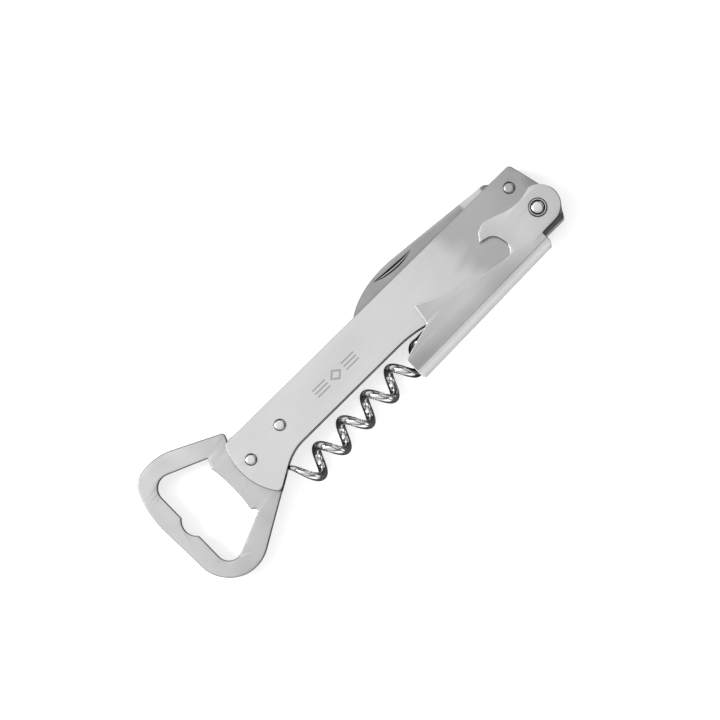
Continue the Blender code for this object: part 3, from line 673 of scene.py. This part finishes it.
def washer(name, node, bore, body, finish, shade_ring=0.0):
    """A stamped washer as wide and as thick as its frame's, its rims rounded over, painted shade in rings at
    bore and rim.
    """
    low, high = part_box(node)
    radius, thickness = (high.x - low.x) / 2, high.z - low.z
    soft = 0.25 * thickness
    profile = [
        (bore, soft), (bore + soft, 0), (radius - soft, 0), (radius, soft), (radius, thickness - soft),
        (radius - soft, thickness), (radius - soft - 0.4 * shade_ring - 0.01 * mm, thickness),
        (bore + max(soft, shade_ring), thickness),
        (bore + soft, thickness), (bore, thickness - soft),
    ]
    centre = centre_of(node)
    at = Vector((centre.x, centre.y, low.z))
    mesh = turned(profile, True, 64)
    # Painted shade: faces near the bore and the outer rim take the near-black finish.
    for face in mesh.polygons:
        reach = face.center.xy.length
        if shade_ring and (reach < bore + shade_ring or reach > radius - soft - 0.4 * shade_ring):
            face.material_index = 1
    fitted(name, mesh, (finish, ring_painted_shade), body, at, replaces=[node], sharp=50)


flush_pin("worm_pin_flush", "worm_pivot_pin", worm_pin, worm_place)
for side in ("front", "back"):
    washer(
        f"worm_washer_{side}_stamped", f"worm_washer_{side}", worm_pin + running_fit,
        "handle", washer_brass,
    )


# ---- Knife blade ------------------------------------------------------------------------------------
# A short blade of hardened stainless steel, hollow ground from its back to its edge on both sides. Its
# tang turns on a rivet between two brass washers, and a crescent nick takes the thumbnail.

blade_length = 56.0 * mm
blade_width = 7.8 * mm
blade_lean = math.radians(-5.54)
blade_half = centre_of("knife_blade").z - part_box("knife_blade")[0].z
blade_back = 0.659 * blade_width
blade_edge = blade_back - blade_width
tang_radius = 3.7 * mm
plunge = -12.6 * mm


def blade_outline():
    bow_run, bow_rise = 21.5 * mm, 12.0 * mm
    reach = bow_run * math.sqrt(1 - (1 - blade_width / bow_rise) ** 2)
    bow = [
        (reach - blade_length - d, blade_back - bow_rise * (1 - math.sqrt(1 - (d / bow_run) ** 2)))
        for d in (reach * math.sin(math.pi / 2 * i / 40) for i in range(40))
    ]
    return rounded([
        *[(*place,) for place in arc((0, 0), tang_radius, -140, 95)],
        (-3.3 * mm, tang_radius + 0.4 * mm, 1.0 * mm),
        (-4.9 * mm, blade_back, 1.0 * mm),
        *bow,
        (-blade_length, blade_edge),
        (-13.2 * mm, blade_edge, 0.3 * mm),
        (plunge, blade_edge + 0.7 * mm, 0.5 * mm),
    ])


def lofted(sections):
    bm = bmesh.new()
    loops = [[bm.verts.new(place) for place in section] for section in sections]
    count = len(loops[0])
    for a, b in zip(loops, loops[1:]):
        for i in range(count):
            j = (i + 1) % count
            bm.faces.new((a[i], a[j], b[j], b[i]))
    bm.faces.new(loops[0])
    bm.faces.new(loops[-1])
    bmesh.ops.recalc_face_normals(bm, faces=bm.faces)
    mesh = bpy.data.meshes.new("loft")
    bm.to_mesh(mesh)
    bm.free()
    return mesh


def grind(side):
    """The stone's cut: a wedge that thins the blade towards its edge and stops at the plunge line."""
    thin = 0.12 * mm
    slope = (blade_half - thin) / (blade_width - 0.8 * mm)
    low, high = blade_edge - 1.0 * mm, blade_back - 0.8 * mm
    section = [(low, thin - 1.0 * mm * slope), (high, blade_half), (low, blade_half + 1.0 * mm)]
    reach = (-blade_length - 1.0 * mm, plunge)
    return lofted([[(x, y, side * z) for y, z in section] for x in reach])


nick_radius, nick_reach = 16.5 * mm, 6.8 * mm
nick_place = Vector((-blade_length + 18.65 * mm, blade_back - 1.45 * mm, 0))
nick_turn = Matrix.Rotation(math.radians(2), 4, "Z")


def nick_sag(x):
    """How far below the nick's straight side its arc is."""
    return math.sqrt(nick_radius**2 - x * x) - math.sqrt(nick_radius**2 - nick_reach**2)


def nail_nick():
    """The crescent that a wheel cuts: a wall on its straight side, a flat floor, and a slope to its arc."""
    sections = []
    for i in range(41):
        x = nick_reach * (2 * i / 40 - 1) * 0.999
        sag = nick_sag(x)
        floor = blade_half - 0.12 * mm - 0.4 * mm * min(1.0, 1.6 * sag / nick_sag(0))
        top = blade_half + 0.2 * mm
        sections.append([
            (x, 0, top), (x, 0, floor), (x, -0.36 * sag, floor), (x, -0.58 * sag, floor),
            (x, -0.9 * sag, blade_half - 0.16 * mm), (x, -sag, top),
        ])
    return lofted(sections)


def ground_height(y):
    """How high the ground face of the blade stands above its middle."""
    return 0.12 * mm + (blade_half - 0.12 * mm) * (y - blade_edge) / (blade_width - 0.8 * mm)


# Lighter from the plunge line back to the tang, and much darker over the tang itself.
blade_steel = brushed(
    "ground_blade_steel", 0.53, 0.64, 0.26, 0.4,
    (6000, 260, 3000), (120, 50, 80), 0.003 * mm,
    shade=((-57, 0.88), (-13.4, 0.8), (-12.6, 1.2), (-6.4, 1.2), (-5.8, 0.45), (4, 0.4)), drift=0.1 * mm,
)
blade_mesh = stamping(
    "blade", [blade_outline(), hole((0, 0), rivet_shank + running_fit)], -blade_half, blade_half, 0.06 * mm
)
for side in (1, -1):
    blade_mesh = joined(blade_mesh, grind(side), "DIFFERENCE")
nick = nail_nick()
nick.transform(Matrix.Translation(nick_place) @ nick_turn)
blade_mesh = cleaned(joined(blade_mesh, nick, "DIFFERENCE"))
# Painted shade: the nick's wall and slope go near-black, save a light strip along its floor.
for face in blade_mesh.polygons:
    x, y, z = nick_turn.inverted() @ (face.center - nick_place)
    if abs(x) < nick_reach and 0 < z < ground_height(face.center.y) - 0.03 * mm and -y < nick_sag(x):
        face.material_index = 0 if 0.44 < -y / nick_sag(x) < 0.6 else 1
nick_painted_shade = brushed("nick_painted_shade", 0.01, 0.03, 0.3, 0.45, (900, 900, 900), (300, 300, 300), 0.002 * mm)
fitted(
    "ground_blade", blade_mesh, (blade_steel, nick_painted_shade), "knife",
    pivot + Vector((*knife_place, 0)), blade_lean, ["knife_blade"], sharp=25,
)
dull_rivet_steel = brushed(
    "dull_rivet_steel", 0.44, 0.54, 0.2, 0.32, (1500, 1500, 1500), (600, 600, 600), 0.004 * mm
)
rivet(
    "knife_rivet_domed", "knife_pivot_rivet", rivet_shank, rivet_rim, plate_outer + seat_gap, knife_place,
    dull_rivet_steel,
)
for side in ("front", "back"):
    washer(
        f"knife_washer_{side}_stamped", f"knife_washer_{side}", rivet_shank + running_fit,
        "handle", washer_brass,
    )


# ---- Back spring ------------------------------------------------------------------------------------
# A leaf cut from spring steel strip, heat-treated dark. Two flush pins hold its pad between the plates,
# and its arm bears on the knife's round tang, so the blade stays where it is put.


def spring_outline():
    left, right = spring_pins
    pad_low, pad_high = head_bottom + 0.5 * mm, head_bottom + 3.0 * mm
    angle = math.radians(-112)
    nose = knife_place + Vector((math.cos(angle), math.sin(angle))) * (tang_radius + 0.2 * mm)
    return rounded([
        (left.x - 2.2 * mm, pad_low, 0.6 * mm),
        (right.x + 3.5 * mm, pad_low, 4.0 * mm),
        (nose.x + 0.2 * mm, nose.y - 2.0 * mm, 0.5 * mm),
        (nose.x + 0.1 * mm, nose.y - 0.25 * mm, 0.4 * mm),
        (nose.x - 1.3 * mm, nose.y - 0.15 * mm, 0.4 * mm),
        (right.x + 2.5 * mm, pad_high, 3.0 * mm),
        (left.x - 2.2 * mm, pad_high, 0.6 * mm),
    ])


spring_steel = brushed(
    "spring_steel", 0.20, 0.34, 0.32, 0.5,
    (900, 2600, 900), (200, 200, 200), 0.004 * mm,
)
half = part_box("back_spring")[1].z - pivot.z
holes = [hole(place, spring_pin + pin_fit) for place in spring_pins]
mesh = stamping("spring_leaf", [spring_outline(), *holes], -half, half, 0.12 * mm)
fitted("spring_leaf", mesh, (spring_steel,), "handle", replaces=["back_spring"])
for side, place in zip(("left", "right"), spring_pins):
    flush_pin(f"spring_pin_{side}_flush", f"spring_pin_{side}", spring_pin, place)


# ---- Lever ------------------------------------------------------------------------------------------
# One blank of 0.9 mm stainless sheet: both flanks with the spine between them, cut out flat, brushed and
# then folded into a U round the handle. Its hook lifts caps and its foot stands on the bottle's rim.

lever_sheet = 0.9 * mm
lever_reach = 53.6 * mm
lever_rest = math.radians(1.5)
bend_radius = 2.6 * mm
lobe_radius = 5.65 * mm
hook_reach = 17.6 * mm
head_half = plate_outer + 0.3 * mm + lever_sheet
foot_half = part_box("lever")[1].z - pivot.z
spine = 9.7 * mm
mid_radius = bend_radius - lever_sheet / 2
bend_run = math.pi / 2 * mid_radius
spine_run = 2.5 * mm
bend_height = bend_radius - spine
crease_depth = 0.16 * mm  # the fold draws each flank in a little before its bend
crease_run = 3.4 * mm


def lever_half_width(x):
    return head_half + (foot_half - head_half) * smooth((x + 7 * mm) / (-23 * mm))


def flank_outline():
    """One flank from the end of the spine, round the lobe, over the hook and along the sweep to the foot."""
    foot = -lever_reach
    step = foot + 10.8 * mm
    hook = -hook_reach
    corners = [
        (-3.9 * mm, bend_height, 0.0),
        (-3.9 * mm, -lobe_radius, 0.3 * mm),
        *[(*place,) for place in arc((0.85 * mm, 0), lobe_radius, -90, 76)],
        (-3.4 * mm, 4.3 * mm, 12 * mm),
        (hook + 4.4 * mm, 7.95 * mm, 5 * mm),
        (hook + 1.8 * mm, 6.85 * mm, 2 * mm),
        (hook, 4.5 * mm, 0.15 * mm),
        (hook + 4.2 * mm, 3.5 * mm, 3.4 * mm),
        (hook + 5.2 * mm, -1.0 * mm, 3 * mm),
        (hook + 3.6 * mm, -3.6 * mm, 1.6 * mm),
        (hook - 10.6 * mm, -1.56 * mm, 63 * mm),
        (step + 1.1 * mm, 5.3 * mm, 0.3 * mm),
        (step, -0.4 * mm, 0.8 * mm),
        (foot, -3.15 * mm, 0.5 * mm),
        (foot - 0.05 * mm, bend_height, 0.0),
    ]
    return rounded(corners)


def lever_blank():
    """The flat blank: x along the lever, y across it as developed from the middle of the spine."""
    flank = [Vector((p.x, spine_run + bend_run + p.y - bend_height)) for p in flank_outline()]
    foot = [
        Vector((-lever_reach - 0.1 * mm, spine_run + 0.55 * bend_run)),
        Vector((-lever_reach + 0.15 * mm, spine_run + 0.25 * bend_run)),
        Vector((-lever_reach + 0.5 * mm, spine_run)),
    ]
    head_end = [
        Vector((-5.3 * mm, spine_run)),
        Vector((-4.5 * mm, spine_run + 0.25 * bend_run)),
        Vector((-4.0 * mm, spine_run + 0.6 * bend_run)),
    ]
    half = head_end + flank + foot
    return half + [Vector((p.x, -p.y)) for p in reversed(half)]


def fold(mesh):
    """Bends the blank into the lever's U: spine, two round bends, and two flanks that flare to the foot."""
    # Slots: 1 painted highlight on the edges, 2 painted light on the back, 3 painted shade on edges, 4
    # painted shade along the crease.
    edge, back, dark, crease = 1, 2, 3, 4
    bm = bmesh.new()
    bm.from_mesh(mesh)
    creases = [(Vector((-x * mm, 0, 0)), Vector((1, 0, 0))) for x in range(8, 31, 2)]
    for k in range(13):
        across = spine_run + bend_run * k / 12
        creases += [(Vector((0, side * across, 0)), Vector((0, 1, 0))) for side in (1, -1)]
    for k in range(7):
        across = spine_run + bend_run + crease_run * k / 6
        creases += [(Vector((0, side * across, 0)), Vector((0, 1, 0))) for side in (1, -1)]
    creases.append((Vector((0, 0, 0)), Vector((0, 1, 0))))
    for place, square in creases:
        everything = bm.verts[:] + bm.edges[:] + bm.faces[:]
        bmesh.ops.bisect_plane(bm, geom=everything, plane_co=place, plane_no=square, dist=1e-7)
    # The bend and spine take the painted light slot; the last twelfth of each bend next to its flank takes
    # the painted shade strip.
    for face in bm.faces:
        run = abs(face.calc_center_median().y)
        if face.material_index == 0 and run < spine_run + bend_run:
            face.material_index = crease if run > spine_run + bend_run * 11 / 12 else back
    for vert in bm.verts:
        x, across, out = vert.co
        side = 1 if across >= 0 else -1
        run = abs(across)
        flat = lever_half_width(x) - bend_radius
        if run <= spine_run:
            y, z = -spine + lever_sheet / 2 - out, flat * run / spine_run
        elif run <= spine_run + bend_run:
            turn = (run - spine_run) / mid_radius
            y = bend_height - (mid_radius + out) * math.cos(turn)
            z = flat + (mid_radius + out) * math.sin(turn)
            z -= crease_depth * smooth(turn / (math.pi / 2))
        else:
            past = run - spine_run - bend_run
            dip = crease_depth * max(0.0, 1 - past / crease_run) ** 2
            y, z = bend_height + past, flat + mid_radius + out - dip
        vert.co = (x, y, side * z)
    bmesh.ops.recalc_face_normals(bm, faces=bm.faces)
    # Painted shade: edges facing away from the blade side, on the head side of x = -30 mm, take the dark
    # slot.
    for face in bm.faces:
        if face.material_index == edge and face.normal.y < 0.2 and face.calc_center_median().x > -30 * mm:
            face.material_index = dark
    bm.to_mesh(mesh)
    bm.free()
    return mesh


# Painted shade: the flanks darken towards the foot and a little on the lobe.
lever_steel = brushed(
    "lever_steel", 0.68, 0.80, 0.24, 0.36,
    (180, 4600, 3000), (50, 120, 80), 0.0025 * mm,
    shade=((-54, 0.62), (-42, 0.76), (-26, 0.92), (-10, 1.0), (7, 0.86)),
)
bore = hole((0, 0), lever_pin + running_fit)
eyes = [[Vector((p.x, side * (spine_run + bend_run + p.y - bend_height))) for p in bore] for side in (1, -1)]
# Painted highlight: the lever's rounded edges are near-white.
lever_edge_painted_highlight = brushed(
    "lever_edge_painted_highlight", 0.96, 1.0, 0.2, 0.34, (300, 300, 6000), (160, 160, 160), 0.003 * mm, metallic=0.0
)
# Painted light: the bend and spine take a lighter, more diffuse copy of the lever's steel, shaded darker at
# the crease side and the outer edge.
lever_back_painted_light = brushed(
    "lever_back_painted_light", 0.84, 0.91, 0.45, 0.58, (200, 3600, 3000), (50, 120, 80), 0.003 * mm,
    across=((-10, 0.8), (-9.5, 0.98), (-8.6, 1.0), (-7.9, 0.86), (-7, 0.72)), metallic=0.2
)
# Painted shade: the lever's edges facing away from the blade side are near-black.
lever_shadow_edge = brushed(
    "lever_edge_painted_shade", 0.12, 0.2, 0.3, 0.45, (300, 300, 6000), (160, 160, 160), 0.003 * mm
)
# Painted shade: a darker strip along the crease where each flank meets its bend.
crease_painted_shade = brushed(
    "crease_painted_shade", 0.46, 0.58, 0.3, 0.45, (300, 3600, 3000), (160, 160, 160), 0.003 * mm
)
blank = stamping("lever_folded", [lever_blank(), *eyes], -lever_sheet / 2, lever_sheet / 2, 0.26 * mm)
edges_to_slot(blank)
fitted(
    "lever_folded", fold(blank),
    (lever_steel, lever_edge_painted_highlight, lever_back_painted_light, lever_shadow_edge, crease_painted_shade),
    "lever", turn=lever_rest, replaces=["lever"],
)

lever_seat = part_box("lever_washer_front")[1].z - pivot.z + seat_gap
rivet("lever_rivet_domed", "lever_pivot_rivet", lever_pin, 0.4 * mm, lever_seat, (0, 0), rivet_steel)
for side in ("front", "back"):
    washer(
        f"lever_washer_{side}_stamped", f"lever_washer_{side}", lever_pin + running_fit,
        "lever", rivet_steel, shade_ring=0.5 * mm,
    )
washer(
    "lever_bush_turned", "lever_spacer_bush", lever_pin + running_fit, "handle", spring_steel
)


# ---- Table, light and camera ------------------------------------------------------------------------
# A white table under a bright ceiling with dark gaps in it, which draw the dark lines along the chromed
# wire, and a key softbox on the blade's side. The table is white to look at, but dark where metal mirrors it.

bpy.ops.mesh.primitive_plane_add(size=4.0, location=(0, 0, -0.02 * mm))
table = bpy.context.object
table.name = "table"
white = bpy.data.materials.new("white_table")
white.use_nodes = True
nodes, links = white.node_tree.nodes, white.node_tree.links
white_shader = nodes["Principled BSDF"]
white_shader.inputs["Base Color"].default_value = (0.86, 0.86, 0.86, 1)
white_shader.inputs["Roughness"].default_value = 0.7
white_shader.inputs["Specular IOR Level"].default_value = 0.0
white_shader.inputs["Emission Color"].default_value = (1, 1, 1, 1)
white_shader.inputs["Emission Strength"].default_value = 0.6
dim = nodes.new("ShaderNodeBsdfDiffuse")
dim.inputs["Color"].default_value = (0.09, 0.09, 0.09, 1)
seen = nodes.new("ShaderNodeLightPath")
either = nodes.new("ShaderNodeMixShader")
links.new(seen.outputs["Is Glossy Ray"], either.inputs["Fac"])
links.new(white_shader.outputs["BSDF"], either.inputs[1])
links.new(dim.outputs["BSDF"], either.inputs[2])
links.new(either.outputs["Shader"], nodes["Material Output"].inputs["Surface"])
table.data.materials.append(white)

studio = bpy.data.worlds.new("studio")
bpy.context.scene.world = studio
studio.use_nodes = True
nodes, links = studio.node_tree.nodes, studio.node_tree.links
direction = nodes.new("ShaderNodeTexCoord")
split = nodes.new("ShaderNodeSeparateXYZ")
links.new(direction.outputs["Generated"], split.inputs["Vector"])


def walls(share, stops):
    """Grey levels by a direction's share of the way round, as (share, level) pairs."""
    made = nodes.new("ShaderNodeValToRGB")
    links.new(share, made.inputs["Fac"])
    ramp = made.color_ramp
    for element, (place, level) in zip(ramp.elements, (stops[0], stops[-1])):
        element.position = place
        element.color = (level, level, level, 1)
    for place, level in stops[1:-1]:
        ramp.elements.new(place).color = (level, level, level, 1)
    return made.outputs["Color"]


tilt = nodes.new("ShaderNodeMath")
tilt.operation = "ARCTAN2"
links.new(split.outputs["Y"], tilt.inputs[0])
links.new(split.outputs["Z"], tilt.inputs[1])
share = nodes.new("ShaderNodeMapRange")
share.inputs["From Min"].default_value = -math.pi
share.inputs["From Max"].default_value = math.pi
links.new(tilt.outputs["Value"], share.inputs["Value"])
across = walls(share.outputs["Result"], [
    (0.5 + degrees / 360, level)
    for degrees, level in (
        (-92, 0.9), (-80, 1.4), (-60, 1.4), (-50, 0.3), (-34, 0.1), (-26, 0.8), (-17, 0.9), (-9, 0.62),
        (-2, 0.6), (5, 0.9), (11, 1.12), (28, 1.3), (34, 0.2), (48, 0.06), (60, 0.08), (68, 0.7), (92, 0.8),
    )
])
along = nodes.new("ShaderNodeMapRange")
along.inputs["From Min"].default_value = -1.0
along.inputs["From Max"].default_value = 1.0
links.new(split.outputs["X"], along.inputs["Value"])
lengthwise = walls(along.outputs["Result"], [
    (0.5 + reach / 2, level)
    for reach, level in (
        (-1.0, 0.3), (-0.9, 0.75), (-0.6, 0.8), (-0.44, 1.0), (0.06, 1.0),
        (0.2, 0.95), (0.32, 0.9), (0.37, 0.06), (0.55, 0.06), (0.62, 0.8), (0.9, 0.75), (1.0, 0.3),
    )
])
both = nodes.new("ShaderNodeMix")
both.data_type = "RGBA"
both.blend_type = "MULTIPLY"
sockets = {socket.identifier: socket for socket in both.inputs}
sockets["Factor_Float"].default_value = 1.0
links.new(across, sockets["A_Color"])
links.new(lengthwise, sockets["B_Color"])
mixed = {socket.identifier: socket for socket in both.outputs}["Result_Color"]
links.new(mixed, nodes["Background"].inputs["Color"])
nodes["Background"].inputs["Strength"].default_value = 1.0


def softbox(name, place, size, power):
    lamp = bpy.data.lights.new(name, "AREA")
    lamp.shape = "SQUARE"
    lamp.size = size
    lamp.energy = power
    light = bpy.data.objects.new(name, lamp)
    light.location = place
    light.rotation_euler = (-Vector(place)).to_track_quat("-Z", "Y").to_euler()
    bpy.context.scene.collection.objects.link(light)


softbox("key", (-0.6, 0.55, 0.85), 0.42, 6.0)

centre = Vector((0.27 * mm, -0.09 * mm, pivot.z + plate_outer))
camera_height = 1200 * mm
view_width = 192 * mm
lens = bpy.data.cameras.new("camera")
lens.sensor_width = 36
lens.lens = 36 * camera_height / view_width
lens.clip_start = 0.01
camera = bpy.data.objects.new("camera", lens)
lean = Matrix.Rotation(math.radians(4.6), 3, "X")
camera.location = centre + lean @ Vector((0, 0, camera_height))
camera.rotation_euler = (lean @ Matrix.Rotation(math.radians(-44.56), 3, "Z")).to_euler()
bpy.context.scene.collection.objects.link(camera)
bpy.context.scene.camera = camera
bpy.context.scene.view_settings.view_transform = "Standard"
